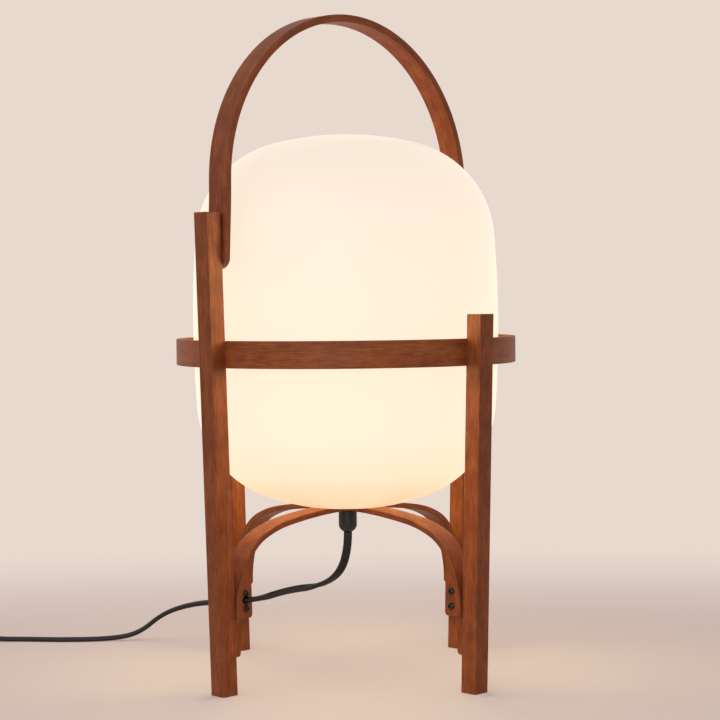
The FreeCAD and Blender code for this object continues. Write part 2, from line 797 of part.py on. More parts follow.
def cord_gland(arches):
    """Domed cord grip that screws on the nipple from below."""
    straight = GLAND_MOUTH + GLAND_DOME
    hole = CORD_RADIUS + FIT_GAP
    shoulder = straight + 2
    edges = [
        line(rz(hole, GLAND_MOUTH), rz(hole + 1.2, GLAND_MOUTH)),
        arc(
            rz(hole + 1.2, GLAND_MOUTH),
            rz(GLAND_RADIUS - 1.35, GLAND_MOUTH + 2.2),
            rz(GLAND_RADIUS, straight),
        ),
        *chain(
            rz(GLAND_RADIUS, straight),
            rz(GLAND_RADIUS, ARCH_UNDER),
            rz(NIPPLE_RADIUS + FIT_GAP, ARCH_UNDER),
            rz(NIPPLE_RADIUS + FIT_GAP, shoulder),
            rz(hole, shoulder),
            rz(hole, GLAND_MOUTH),
        ),
    ]
    body = turned(edges)
    for strip in arches:
        body = body.cut(strip)
    tapped = Part.makeCylinder(
        GRIP_SCREW_RADIUS + FIT_GAP, GLAND_RADIUS, V(0, -GLAND_RADIUS - 1, GRIP_SCREW_HEIGHT), V(0, 1, 0)
    )
    return one(body.cut(tapped))


def grip_screw():
    length = GLAND_RADIUS - CORD_RADIUS - 0.4
    start = V(0, -GLAND_RADIUS + 0.2, GRIP_SCREW_HEIGHT)
    screw = Part.makeCylinder(GRIP_SCREW_RADIUS, length, start, V(0, 1, 0))
    slot = box(start + V(-2, -1, -0.25), start + V(2, 0.7, 0.25))
    return one(screw.cut(slot))


def lead_in_nipple():
    """The cord's stretch inside the gland, the nipple and the holder's foot."""
    return Part.makeCylinder(CORD_RADIUS, HOLDER_FLOOR - GLAND_MOUTH, V(0, 0, GLAND_MOUTH))


# ---- cord ---------------------------------------------------------------------------
SWITCH_NEAR_END = SWITCH_CENTRE + V(SWITCH_LONG / 2, 0, SWITCH_SPLIT)
SWITCH_FAR_END = SWITCH_CENTRE + V(-SWITCH_LONG / 2, 0, SWITCH_SPLIT)
COIL_START = COIL_CENTRE + V(0, COIL_OUTER, FLOOR_LINE)
COIL_END = COIL_CENTRE + V(0, -COIL_OUTER, FLOOR_LINE + COIL_LAYER)
PLUG_ENTRY = V(COIL_END.x + 42, COIL_END.y, PLUG_ENTRY_HEIGHT)

RUN_ROUTE = [
    V(0, 0, GLAND_MOUTH),
    V(0, 0, 108.3),
    V(-7.5, 7.5, 84.8),
    V(-26.0, 26.0, 71.3),
    V(-54.0, 54.0, 64.4),
    CORD_HOLE_START,
    CORD_HOLE_END,
    V(-151.0, 140.0, 38.4),
    V(-180.0, 153.0, 27.8),
    V(-204.0, 158.5, 7.5),
    V(-230.0, 159.0, FLOOR_LINE),
    V(-272.0, 155.0, FLOOR_LINE),
    V(-315.0, 161.5, FLOOR_LINE),
    V(-344.0, 160.2, FLOOR_LINE + 0.6),
    V(-359.0, SWITCH_NEAR_END.y, SWITCH_SPLIT),
    SWITCH_NEAR_END,
]
LINK_ROUTE = [
    SWITCH_FAR_END,
    V(-443.0, SWITCH_FAR_END.y, SWITCH_SPLIT),
    V(-462.0, 161.0, FLOOR_LINE + 0.4),
    V(-473.0, COIL_START.y, FLOOR_LINE),
    COIL_START,
]
TAIL_ROUTE = [
    COIL_END,
    V(-474.0, COIL_END.y, COIL_END.z),
    V(-452.0, COIL_END.y, PLUG_ENTRY_HEIGHT),
    PLUG_ENTRY,
]


def rounded_path(name, route):
    """Straight runs joined by tangent arcs as large as the runs allow, with radii printed."""
    here = route[0]
    edges = []
    radii = []
    for before, corner, after in zip(route, route[1:], route[2:]):
        back = (before - corner).normalize()
        on = (after - corner).normalize()
        turn = math.pi - back.getAngle(on)
        cut = 0.45 * min((before - corner).Length, (after - corner).Length)
        radius = cut / math.tan(turn / 2)
        radii.append(radius)
        start = corner + back * cut
        end = corner + on * cut
        inward = (back + on).normalize()
        middle = corner + inward * (math.hypot(radius, cut) - radius)
        edges.append(line(here, start))
        edges.append(arc(start, middle, end))
        here = end
    edges.append(line(here, route[-1]))
    print(name, "radii", " ".join("%.0f" % r for r in radii))
    return Part.Wire(edges)


def tube(name, path, start, direction):
    """A round tube along the path, with its volume set against section times length."""
    circle = Part.Wire(Part.makeCircle(CORD_RADIUS, start, direction))
    solid = one(path.makePipeShell([circle], True, False))
    ideal = math.pi * CORD_RADIUS**2 * path.Length
    print(name, "length %.1f, volume ratio %.4f" % (path.Length, solid.Volume / ideal))
    return solid


def free_stretch(name, route):
    path = rounded_path(name, route)
    return tube(name, path, route[0], route[1] - route[0]), path.Length


COIL_SWEEP = 2 * math.pi * (2 * COIL_TURNS_PER_LAYER + 0.5)
COIL_CLIMB = (COIL_SWEEP - math.pi) / 2  # the sweep at which the climbing half turn starts


def coil_point(angle):
    """Place and heading on the coil: in on the lower layer, up over half a turn, out above."""
    per_radian = COIL_PITCH / (2 * math.pi)
    radius = COIL_OUTER - per_radian * min(angle, COIL_SWEEP - angle)
    slope = -per_radian if angle < COIL_SWEEP / 2 else per_radian
    if min(angle, COIL_SWEEP - angle, abs(angle - COIL_SWEEP / 2)) < 1e-6:
        slope = 0.0
    share = min(max((angle - COIL_CLIMB) / math.pi, 0.0), 1.0)
    height = COIL_LAYER * (share - math.sin(2 * math.pi * share) / (2 * math.pi))
    rise = COIL_LAYER / math.pi * (1 - math.cos(2 * math.pi * share))
    at = math.pi / 2 + angle
    out = V(math.cos(at), math.sin(at), 0)
    onward = V(-math.sin(at), math.cos(at), 0)
    heading = (onward * radius + out * slope + UP * rise).normalize()
    return COIL_CENTRE + out * radius + UP * (FLOOR_LINE + height), heading


def biarc(a, heading_a, b, heading_b):
    """Two arcs that join a to b and keep both headings."""
    gap = b - a
    both = heading_a + heading_b
    square = 2 * (1 - heading_a.dot(heading_b))
    half = gap.dot(both)
    reach = (-half + math.sqrt(half * half + square * gap.dot(gap))) / square
    first = a + heading_a * reach
    second = b - heading_b * reach
    joint = (first + second) * 0.5
    edges = []
    for start, corner, end in ((a, first, joint), (joint, second, b)):
        back = (start - corner).normalize()
        inward = (back + (end - corner).normalize()).normalize()
        turn = math.pi - back.getAngle(end - corner)
        radius = reach / math.tan(turn / 2)
        edges.append(arc(start, corner + inward * (math.hypot(radius, reach) - radius), end))
    return edges


def cord_coil():
    """The put-away length as one unbroken tube, straight for one diameter at each end."""
    quarter = math.pi / 2
    steps = round(COIL_SWEEP / quarter)
    places = [coil_point(i * quarter) for i in range(steps + 1)]
    edges = []
    for (a, heading_a), (b, heading_b) in zip(places, places[1:]):
        edges += biarc(a, heading_a, b, heading_b)
    path = Part.Wire(edges)
    points = path.discretize(Distance=1.5)
    apart = round(3 * COIL_PITCH)
    least = min(
        (p - q).Length for i, p in enumerate(points) for q in points[i + apart :]
    )
    print("cord_coil least gap %.2f mm" % (least - 2 * CORD_RADIUS))
    return tube("cord_coil", path, places[0][0], places[0][1]), path.Length


# ---- in-line switch -----------------------------------------------------------------
def switch_block(low, high):
    """The switch's plan, bowed at the sides and flat at both cord ends."""
    long_ = SWITCH_LONG / 2
    end = SWITCH_END_WIDE / 2
    side = SWITCH_WIDE / 2
    edges = [
        arc(V(-long_, end, low), V(0, side, low), V(long_, end, low)),
        line(V(long_, end, low), V(long_, -end, low)),
        arc(V(long_, -end, low), V(0, -side, low), V(-long_, -end, low)),
        line(V(-long_, -end, low), V(-long_, end, low)),
    ]
    return one(face(edges).extrude(V(0, 0, high - low)))


def rim_edges(solid, z):
    return [e for e in solid.Edges if all(abs(v.Z - z) < 1e-6 for v in e.Vertexes)]


def switch_base():
    block = switch_block(0, SWITCH_SPLIT)
    block = block.makeFillet(SWITCH_ROUND, rim_edges(block, 0))
    block = block.cut(box(V(-20, -7, 2.5), V(20, 7, SWITCH_SPLIT + 1)))
    block.translate(SWITCH_CENTRE)
    return one(block)


def switch_cover():
    block = switch_block(SWITCH_SPLIT, SWITCH_HIGH)
    block = block.makeFillet(SWITCH_ROUND, rim_edges(block, SWITCH_HIGH))
    half_long = ROCKER_LONG / 2 + ROCKER_GAP + 0.7
    half_wide = ROCKER_WIDE / 2 + ROCKER_GAP
    block = block.cut(box(V(-half_long, -half_wide, 0), V(half_long, half_wide, SWITCH_HIGH + 1)))
    axle = Part.makeCylinder(
        ROCKER_AXLE + 2 * FIT_GAP, 2 * half_wide + 6, V(0, -half_wide - 3, ROCKER_AXLE_HEIGHT), V(0, 1, 0)
    )
    block = block.cut(axle)
    block.translate(SWITCH_CENTRE)
    return one(block)


def switch_rocker():
    """Rocker with stub axles, tipped to its off side."""
    half = ROCKER_LONG / 2
    body = slab(
        [
            (-half, 4.4),
            (0, 2.9),
            (half, 4.4),
            (half - 0.6, -1.2),
            (3.0, -3.4),
            (-3.0, -3.4),
            (-half + 0.6, -1.2),
        ],
        ROCKER_WIDE,
    )
    reach = ROCKER_WIDE / 2 + ROCKER_GAP + 2.6
    axle = Part.makeCylinder(ROCKER_AXLE, 2 * reach, V(0, -reach, 0), V(0, 1, 0))
    rocker = body.fuse(axle).removeSplitter()
    rocker.rotate(V(0, 0, 0), V(0, 1, 0), ROCKER_REST_TILT)
    rocker.translate(SWITCH_CENTRE + V(0, 0, ROCKER_AXLE_HEIGHT))
    return one(rocker)


# ---- plug ---------------------------------------------------------------------------
def rounded_section(x, width, height, corner):
    """A rounded rectangle square to X, centred on the plug's axis."""
    w = width / 2
    h = height / 2
    k = corner * OFF_CORNER
    corners = [(1, 1), (-1, 1), (-1, -1), (1, -1)]
    edges = []
    for i, (sy, sz) in enumerate(corners):
        a = V(x, sy * w, sz * (h - corner))
        b = V(x, sy * (w - corner), sz * h)
        if i % 2:
            a, b = b, a
        edges.append(arc(a, V(x, sy * (w - k), sz * (h - k)), b))
    joined = []
    for i, edge in enumerate(edges):
        joined.append(edge)
        joined.append(line(edge.Vertexes[-1].Point, edges[(i + 1) % 4].Vertexes[0].Point))
    return Part.Wire(joined)


def plug_pin_places():
    return [PLUG_ENTRY + V(PLUG_LONG, side * PIN_SPACING / 2, 0) for side in (-1, 1)]


def plug_body():
    sections = [
        rounded_section(0, 10.0, 9.0, 3.0),
        rounded_section(0.4 * PLUG_LONG, 15.0, 12.0, 4.0),
        rounded_section(0.75 * PLUG_LONG, 24.0, 13.4, 5.0),
        rounded_section(PLUG_LONG, PLUG_WIDE, PLUG_THICK, 5.0),
    ]
    body = Part.makeLoft(sections, True, True)
    body.translate(PLUG_ENTRY)
    for place in plug_pin_places():
        body = body.cut(
            Part.makeCylinder(SLEEVE_RADIUS + FIT_GAP, PIN_ROOT, place - V(PIN_ROOT, 0, 0), V(1, 0, 0))
        )
    return one(body)


def plug_pins():
    """Two round pins, each with an insulating sleeve that is a little thinner than its end."""
    along = V(1, 0, 0)
    pins = []
    for place in plug_pin_places():
        sleeve = Part.makeCylinder(
            SLEEVE_RADIUS, PIN_ROOT + SLEEVE_LONG, place - along * PIN_ROOT, along
        )
        bare = Part.makeCylinder(
            PIN_RADIUS, PIN_LONG - PIN_RADIUS - SLEEVE_LONG, place + along * SLEEVE_LONG, along
        )
        tip = Part.makeSphere(PIN_RADIUS, place + along * (PIN_LONG - PIN_RADIUS))
        pins.append(one(sleeve.fuse([bare, tip]).removeSplitter()))
    return pins


# ---- build --------------------------------------------------------------------------
for leg_name in AZIMUTH:
    make("leg_" + leg_name, leg(leg_name))
make("hoop", hoop())
make("carry_handle", carry_handle())
arch_over = make("arch_over", arch(TALL_LEGS))
arch_under = make("arch_under", arch(SHORT_LEGS))

make("arch_screws", *screws(pan_screw(ARCH_SCREW_LONG), all_of(ARCH_HOLES)))
make("handle_screws", *screws(pan_screw(HANDLE_SCREW_LONG), all_of(HANDLE_HOLES, TALL_LEGS)))
make("hoop_screws", *screws(countersunk_screw(HOOP_SCREW_LONG), all_of(HOOP_HOLES)))

make("globe_shade", globe())
make("seat_plate", seat_plate())
make("threaded_nipple", threaded_nipple())
make("lock_nut", lock_nut())
make("lampholder_shell", lampholder_shell())
make("contact_block", contact_block())
make("centre_contact", centre_contact())
make("threaded_insert", threaded_insert())
make("bulb_cap", bulb_cap())
make("bulb_glass", bulb_glass())
make("cord_gland", cord_gland((arch_over, arch_under)))
make("grip_screw", grip_screw())
make("lead_in_nipple", lead_in_nipple())

run, run_length = free_stretch("cord_run", RUN_ROUTE)
link, link_length = free_stretch("cord_link", LINK_ROUTE)
coil, coil_length = cord_coil()
tail, tail_length = free_stretch("cord_tail", TAIL_ROUTE)
make("cord_run", run)
make("cord_link", link)
make("cord_coil", coil)
make("cord_tail", tail)
make("switch_base", switch_base())
make("switch_cover", switch_cover())
make("switch_rocker", switch_rocker())
make("plug_body", plug_body())
make("plug_pins", *plug_pins())
cord_length = run_length + SWITCH_LONG + link_length + coil_length + tail_length
print("cord from gland to plug %.0f mm" % cord_length)
print("all sub-parts %d triangles at %.1f mm" % (triangles, MESH_SAG))
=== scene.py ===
# %% [markdown]
# # A lantern table lamp
# The lamp is an opal glass globe that stands on two crossed bent-wood arches, inside four
# leaning legs. A hoop goes round its waist and a tall handle goes over it. Every rigid piece
# is already solid, in metres, when the frame is loaded, so this lesson gives each piece the
# finish of the real one, lays the cord, and sets up the camera and the light.

# %% Load the solid pieces
import math
import bpy
from mathutils import Euler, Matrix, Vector


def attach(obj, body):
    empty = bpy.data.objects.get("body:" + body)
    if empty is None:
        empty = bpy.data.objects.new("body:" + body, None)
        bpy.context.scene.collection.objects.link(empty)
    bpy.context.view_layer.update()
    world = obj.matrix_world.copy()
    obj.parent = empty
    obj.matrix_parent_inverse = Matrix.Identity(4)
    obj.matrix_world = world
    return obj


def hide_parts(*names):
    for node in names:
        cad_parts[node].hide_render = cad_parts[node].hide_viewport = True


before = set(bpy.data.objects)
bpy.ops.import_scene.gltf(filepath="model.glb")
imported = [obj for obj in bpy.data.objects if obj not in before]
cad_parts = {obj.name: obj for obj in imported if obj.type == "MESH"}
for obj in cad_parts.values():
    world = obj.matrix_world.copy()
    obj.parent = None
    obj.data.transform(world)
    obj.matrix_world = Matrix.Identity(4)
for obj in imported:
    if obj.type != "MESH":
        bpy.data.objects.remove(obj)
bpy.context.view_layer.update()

# %% [markdown]
# ## Camera
# The photograph was taken from just above the hoop, with a long lens. A long lens keeps the
# legs almost parallel. The camera is set first, because everything else is compared with the
# photograph through it. The picture is square and the horizontals in it climb a little to
# the right, so the camera is rolled by half a degree.

# %% Camera
IMAGE_WIDE = 720  # pixels
LENS_PIXELS = 1936  # the lens's length, measured in those pixels
SENSOR_WIDE = 36  # millimetres
EYE = (0.0, -1.719, 0.3342)
PITCH_DOWN = 1.918  # degrees, as are the next two
PAN_RIGHT = 0.410
ROLL = 0.578

lens = bpy.data.cameras.new("camera")
lens.sensor_fit = "HORIZONTAL"
lens.sensor_width = SENSOR_WIDE
lens.lens = SENSOR_WIDE * LENS_PIXELS / IMAGE_WIDE
camera = bpy.data.objects.new("camera", lens)
aim = Euler((math.radians(90 - PITCH_DOWN), 0, math.radians(-PAN_RIGHT)))
roll = Euler((0, 0, math.radians(-ROLL)))
camera.rotation_euler = (aim.to_matrix() @ roll.to_matrix()).to_euler()
camera.location = EYE
bpy.context.scene.collection.objects.link(camera)
bpy.context.scene.camera = camera
print("lens", round(lens.lens, 1), "mm")

# %% [markdown]
# ## Cord
# The lead is a flat twin cord: two round cores side by side in one black jacket, with a
# shallow groove between them. It leaves the gland under the crossing with its wide side to
# the front, sags towards the back left leg, goes through a slot in it and lies on the floor.
# The length that nobody needs is wound up beside the lamp, behind a switch, and ends in its
# plug. Its line is one smooth curve through a few points, so it bends like a real cord.

# %% Points of the cord's line
FLAT_WIDE = 0.0074
FLAT_THICK = 0.0043
HAIR = 0.0001  # what the cord stays off the floor
LYING = FLAT_THICK / 2 + HAIR
ON_EDGE = FLAT_WIDE / 2 + HAIR
ENTRY = 0.007  # the height at which it goes into switch and plug

GLAND_MOUTH = Vector((0.0, 0.0, 0.12424))
LEG_IN = Vector((-0.0863, 0.0863, 0.0499))
LEG_OUT = Vector((-0.1237, 0.1237, 0.0427))
LANDING = Vector((-0.204, 0.1585, 0.0075))
SWITCH_NEAR = Vector((-0.372, 0.1605, ENTRY))
SWITCH_FAR = Vector((-0.430, 0.1605, ENTRY))
COIL_MIDDLE = Vector((-0.484, 0.1135, 0.0))
COIL_OUTER = 0.047
COIL_PITCH = 0.0064
COIL_LAYER = 0.0076
COIL_TURNS = 4.5
PER_TURN = 16
PLUG_ENTRY = Vector((-0.442, 0.0665, ENTRY))

to_switch = [
    GLAND_MOUTH,
    Vector((0.0, 0.0, 0.1083)),
    Vector((-0.0075, 0.0075, 0.0848)),
    Vector((-0.026, 0.026, 0.0713)),
    Vector((-0.054, 0.054, 0.0644)),
    LEG_IN,
    LEG_OUT,
    Vector((-0.151, 0.140, 0.0384)),
    Vector((-0.180, 0.153, 0.0278)),
    LANDING,
    Vector((-0.230, 0.159, LYING)),
    Vector((-0.272, 0.155, LYING)),
    Vector((-0.315, 0.1615, LYING)),
    Vector((-0.344, 0.1602, LYING + 0.0006)),
    Vector((-0.359, 0.1605, ENTRY)),
    SWITCH_NEAR,
]
to_coil = [
    SWITCH_FAR,
    Vector((-0.443, 0.1605, ENTRY)),
    Vector((-0.462, 0.161, 0.0045)),
    Vector((-0.473, 0.1605, ON_EDGE)),
]
to_plug = [
    Vector((-0.474, 0.0665, ON_EDGE + COIL_LAYER)),
    Vector((-0.452, 0.0665, ENTRY)),
    PLUG_ENTRY,
]


def coil_point(turn):
    """A point of the winding: in on the lower layer, up over half a turn, out again."""
    radius = COIL_OUTER - COIL_PITCH * min(turn, COIL_TURNS - turn)
    share = min(max(2 * turn - COIL_TURNS + 0.5, 0.0), 1.0)
    height = COIL_LAYER * (share - math.sin(2 * math.pi * share) / (2 * math.pi))
    angle = math.pi / 2 + 2 * math.pi * turn
    around = Vector((math.cos(angle), math.sin(angle), 0)) * radius
    return COIL_MIDDLE + around + Vector((0, 0, ON_EDGE + height))


coil = [coil_point(i / PER_TURN) for i in range(int(COIL_TURNS * PER_TURN) + 1)]
points = to_switch + to_coil + coil + to_plug
print("cord line has", len(points), "points,", len(coil), "of them in the coil")

# %% [markdown]
# A NURBS spline of order 3 rounds off every corner of these points by itself. Blender gives
# its points back when the curve is turned into a mesh with no thickness. The jacket is then
# built along them, because a flat cord also needs a direction for its wide side.

# %% The cord's centre line
line_data = bpy.data.curves.new("cord_line", "CURVE")
line_data.dimensions = "3D"
line_data.resolution_u = 10
spline = line_data.splines.new("NURBS")
spline.points.add(len(points) - 1)
for place, point in zip(spline.points, points):
    place.co = (*point, 1.0)
spline.order_u = 3
spline.use_endpoint_u = True
line_object = bpy.data.objects.new("cord_line", line_data)
line_mesh = bpy.data.meshes.new_from_object(line_object)
line = [v.co.copy() for v in line_mesh.vertices]
bpy.data.meshes.remove(line_mesh)
bpy.data.objects.remove(line_object)
bpy.data.curves.remove(line_data)

reach = [0.0]
for before, after in zip(line, line[1:]):
    reach.append(reach[-1] + (after - before).length)
print("cord length", round(reach[-1], 3), "m in", len(line), "points")

# %% [markdown]
# The wide side is turned at a few listed places, as fingers would: to the front at the
# gland, tilted along the hanging run, level through the switch, and upright in the winding.
# Between them it twists slowly.

# %% Which way the wide side points
FRONT = Vector((1, 0, 0))
SLANT = Vector((1, 1, 0)).normalized()
LEVEL = Vector((0, 1, 0))
UPRIGHT = Vector((0, 0, 1))
TILTED = (SLANT + UPRIGHT).normalized()
TIPPED = (SLANT + 0.25 * UPRIGHT).normalized()
LAST_TWIST = 0.045  # the stretch in which it lies down again for the plug


def nearest_reach(place):
    """How far along the line the cord comes nearest to a place."""
    return reach[min(range(len(line)), key=lambda i: (line[i] - place).length)]


twists = [  # metres from the gland, and the way that the wide side points there
    (0.0, FRONT),
    (0.028, FRONT),
    (0.066, SLANT),
    (0.092, TILTED),
    (0.135, TILTED),
    (nearest_reach(LEG_IN), TIPPED),
    (nearest_reach(LEG_OUT), TIPPED),
    (nearest_reach(LANDING), LEVEL),
    (nearest_reach(SWITCH_FAR), LEVEL),
    (nearest_reach(coil[0]), UPRIGHT),
    (reach[-1] - LAST_TWIST, UPRIGHT),
    (reach[-1], LEVEL),
]


def wide_way(at):
    """The wide side's direction at a distance along the cord."""
    for (low, first), (high, second) in zip(twists, twists[1:]):
        if at <= high:
            share = (at - low) / max(high - low, 1e-9)
            share = share * share * (3 - 2 * share)
            return first.lerp(second, share)
    return twists[-1][1]


print("cord is turned at", [round(at, 3) for at, way in twists])

# %% [markdown]
# The jacket's outline is two circles that meet in a groove. A ring of it stands square to the
# line at each of its points, and faces join each ring to the next. Faces in code were chosen
# over a bevelled curve, because a bevel can't be told which way the wide side points.

# %% The jacket along the line
CORE_STEPS = 8
CORE_HALF_ARC = 78  # degrees of each core's circle that show, to each side
GROOVE_LEFT = 0.60  # how thick the jacket is in the groove, as a share of its cores


def jacket_section():
    """The outline of two cores side by side, as wide and thick pairs."""
    core = FLAT_THICK / 2
    off = FLAT_WIDE / 2 - core
    outline = []
    for side in (1, -1):
        for step in range(CORE_STEPS + 1):
            angle = math.radians(CORE_HALF_ARC * (2 * step / CORE_STEPS - 1))
            angle += 0 if side > 0 else math.pi
            outline.append((side * off + core * math.cos(angle), core * math.sin(angle)))
        outline.append((0.0, side * core * GROOVE_LEFT))
    return outline


section = jacket_section()
around = len(section)
verts = []
for i, place in enumerate(line):
    ahead = (line[min(i + 1, len(line) - 1)] - line[max(i - 1, 0)]).normalized()
    wide = wide_way(reach[i])
    wide = (wide - ahead * wide.dot(ahead)).normalized()
    thick = ahead.cross(wide)
    verts += [place + wide * a + thick * b for a, b in section]
faces = []
for i in range(len(line) - 1):
    for j in range(around):
        here, beside = i * around + j, i * around + (j + 1) % around
        faces.append((here, beside, beside + around, here + around))
last_ring = (len(line) - 1) * around
faces += [tuple(reversed(range(around))), tuple(last_ring + j for j in range(around))]

cord_mesh = bpy.data.meshes.new("flat_cord")
cord_mesh.from_pydata(verts, [], faces)
cord_mesh.validate()
cord_mesh.update()
for polygon in cord_mesh.polygons:
    polygon.use_smooth = True
cord = bpy.data.objects.new("flat_cord", cord_mesh)
bpy.context.scene.collection.objects.link(cord)
print("cord faces", len(faces))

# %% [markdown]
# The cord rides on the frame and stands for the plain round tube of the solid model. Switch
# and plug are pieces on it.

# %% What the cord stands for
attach(cord, "frame")
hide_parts("cord_run", "cord_link", "cord_coil", "cord_tail")
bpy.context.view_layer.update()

# %% [markdown]
# ## Writing finishes as sums
# A finish in Blender is a net of nodes. It reads better as a formula, so a small class wraps
# an output socket and gives it Python's own signs: adding two of them adds a Math node. Any
# other node comes from one method, which takes the node's type, its settings and its inputs.

# %% A socket that can be added and multiplied
class Signal:
    """One output of a finish's node net, with arithmetic."""

    def __init__(self, net, socket):
        self.net = net
        self.socket = socket

    def maths(self, operation, *values):
        inputs = dict(enumerate(values))
        return self.net.node("ShaderNodeMath", {"operation": operation}, inputs)

    def __add__(self, other):
        return self.maths("ADD", self, other)

    def __radd__(self, other):
        return self.maths("ADD", other, self)

    def __sub__(self, other):
        return self.maths("SUBTRACT", self, other)

    def __rsub__(self, other):
        return self.maths("SUBTRACT", other, self)

    def __mul__(self, other):
        return self.maths("MULTIPLY", self, other)

    def __rmul__(self, other):
        return self.maths("MULTIPLY", other, self)

    def __truediv__(self, other):
        return self.maths("DIVIDE", self, other)

    def __rtruediv__(self, other):
        return self.maths("DIVIDE", other, self)

    def __pow__(self, other):
        return self.maths("POWER", self, other)

    def __abs__(self):
        return self.maths("ABSOLUTE", self)

    def between(self, low, high):
        """0 below low, 1 above high, and a straight ramp from one to the other."""
        settings = {"data_type": "FLOAT", "clamp": True}
        return self.net.node("ShaderNodeMapRange", settings, {0: self, 1: low, 2: high})

    def eased(self):
        """A ramp from 0 to 1 that starts and ends softly."""
        return self * self * (3 - 2 * self)


# %% [markdown]
# The net itself belongs to a material or to the sky. It makes the nodes, and it knows the few
# that every finish here needs: where a point is, noise, bump, and a blend of two colours.

# %% A net of nodes
class Net:
    """The nodes behind a surface or a sky."""

    def __init__(self, block, shader):
        block.use_nodes = True
        self.block = block
        self.tree = block.node_tree
        self.surface = self.tree.nodes[shader]

    def node(self, kind, settings=None, inputs=None, out=0):
        """Any node: its settings first, then a value or a link for each named input."""
        made = self.tree.nodes.new(kind)
        for name, value in (settings or {}).items():
            if name == "stops":
                ramp = made.color_ramp.elements
                while len(ramp) < len(value):
                    ramp.new(0.5)
                for stop, (at, colour) in zip(ramp, value):
                    stop.position = at
                    stop.color = (*colour, 1)
            else:
                setattr(made, name, value)
        for name, value in (inputs or {}).items():
            self.put(made.inputs[name], value)
        return Signal(self, made.outputs[out])

    def put(self, socket, value):
        """Link a signal to a socket, or write a plain number or colour on it."""
        if isinstance(value, Signal):
            self.tree.links.new(value.socket, socket)
        elif hasattr(value, "__len__") and socket.type == "RGBA":
            socket.default_value = (*value, 1)
        else:
            socket.default_value = value

    def shows(self, **inputs):
        """Feed the surface: base_color=..., roughness=... and so on."""
        for name, value in inputs.items():
            socket = name.replace("_", " ").title().replace("Ior", "IOR")
            self.put(self.surface.inputs[socket], value)

    def axes(self):
        """The three coordinates in metres, in the lamp's own frame."""
        place = self.node("ShaderNodeTexCoord", out=3)
        apart = self.node("ShaderNodeSeparateXYZ", None, {0: place}).socket.node
        return [Signal(self, socket) for socket in apart.outputs]

    def noise(self, a, b, c, d=0.0, detail=2.0, roughness=0.5):
        """Cloudy noise with features about 1 unit wide, from four coordinates."""
        place = self.node("ShaderNodeCombineXYZ", None, {0: a, 1: b, 2: c})
        settings = {"noise_dimensions": "4D"}
        inputs = {
            "Vector": place, "W": d, "Scale": 1.0, "Detail": detail, "Roughness": roughness,
        }
        return self.node("ShaderNodeTexNoise", settings, inputs)

    def bump(self, height, strength, distance=0.0003):
        """Small bumps up to the given distance in metres."""
        inputs = {"Height": height, "Strength": strength, "Distance": distance}
        return self.node("ShaderNodeBump", None, inputs)

    def blend(self, share, first, second):
        """From one colour to the other."""
        inputs = {0: share, 6: first, 7: second}
        return self.node("ShaderNodeMix", {"data_type": "RGBA"}, inputs, out=2)


def finish(name):
    """A new material to fill in."""
    return Net(bpy.data.materials.new(name), "Principled BSDF")


def wear(material, *names):
    """Give solid pieces their finish."""
    for name in names:
        slots = bpy.data.objects[name].material_slots
        for slot in slots:
            slot.material = material
        if not slots:
            bpy.data.objects[name].data.materials.append(material)
    print(material.name, "on", ", ".join(names))


# %% [markdown]
# ## Wood
# Legs, hoop, handle and arches are a reddish-brown hardwood with a satin oil finish. It has
# fine fibres, wider bands of lighter and darker wood, a soft mottling and open pores. Each
# is noise drawn out along the piece, and together they pick a colour from dark to light.

# %% The wood's colours and grain
WOOD_DARK = (0.090, 0.019, 0.006)
WOOD_MIDDLE = (0.205, 0.047, 0.012)
WOOD_LIGHT = (0.350, 0.098, 0.025)
WOOD_STOPS = [(0.25, WOOD_DARK), (0.50, WOOD_MIDDLE), (0.75, WOOD_LIGHT)]


def grain(net, way, per_metre, seed, detail, roughness=0.5):
    """Noise with so many features per metre across the piece, and so many along it."""
    across, depth, along, onward = way
    fine, long = per_metre
    return net.noise(
        across * fine, depth * fine, along * long, onward * long + seed, detail, roughness
    )


def wood(name, map_piece, seed, lighter=0.0):
    """A straight-grained wood whose fibres follow the piece that map_piece describes."""
    oiled = finish(name)
    way = map_piece(*oiled.axes())
    fibre = grain(oiled, way, (1300, 70), seed, 3.0, 0.6)
    bands = grain(oiled, way, (260, 7), seed + 5, 2.0)
    cloud = grain(oiled, way, (90, 60), seed + 9, 2.0)
    open_pore = grain(oiled, way, (2600, 110), seed, 1.0).between(0.62, 0.72)
    tone = fibre * 0.70 + bands * 0.25 + cloud * 0.4 - 0.175 + lighter
    colour = oiled.node("ShaderNodeValToRGB", {"stops": WOOD_STOPS}, {0: tone})
    oiled.shows(
        base_color=oiled.blend(open_pore * 0.45, colour, WOOD_DARK),
        roughness=fibre * 0.16 + 0.38 + open_pore * 0.15,
        normal=oiled.bump(fibre - open_pore * 0.6, 0.15),
        specular_ior_level=0.22,
    )
    return oiled.block


# %% [markdown]
# The grain of a bent strip follows the bend, so each kind of piece gets its own coordinates:
# one across the strip, one through its thickness, and two that change slowly along it.

# %% Coordinates that follow each piece
HALF = math.sqrt(0.5)
HANDLE_CENTRE = 0.431  # the height of the half circle's middle
ARCH_REACH = 0.138
ARCH_LOW = 0.0644
ARCH_TOP = 0.1492
ARCH_POWER = 2.4  # how square the bend is
ARCH_DEPTH = 0.1


def up_a_leg(x, y, z):
    return (x + y) * HALF, (x - y) * HALF, z, 0.0


def round_the_hoop(x, y, z):
    return z, (x * x + y * y) ** 0.5, x, y


def over_the_handle(x, y, z):
    inwards = (x + y) * HALF
    rise = z.maths("MAXIMUM", z - HANDLE_CENTRE, 0.0)
    return (x - y) * HALF, (inwards * inwards + rise * rise) ** 0.5, inwards, z


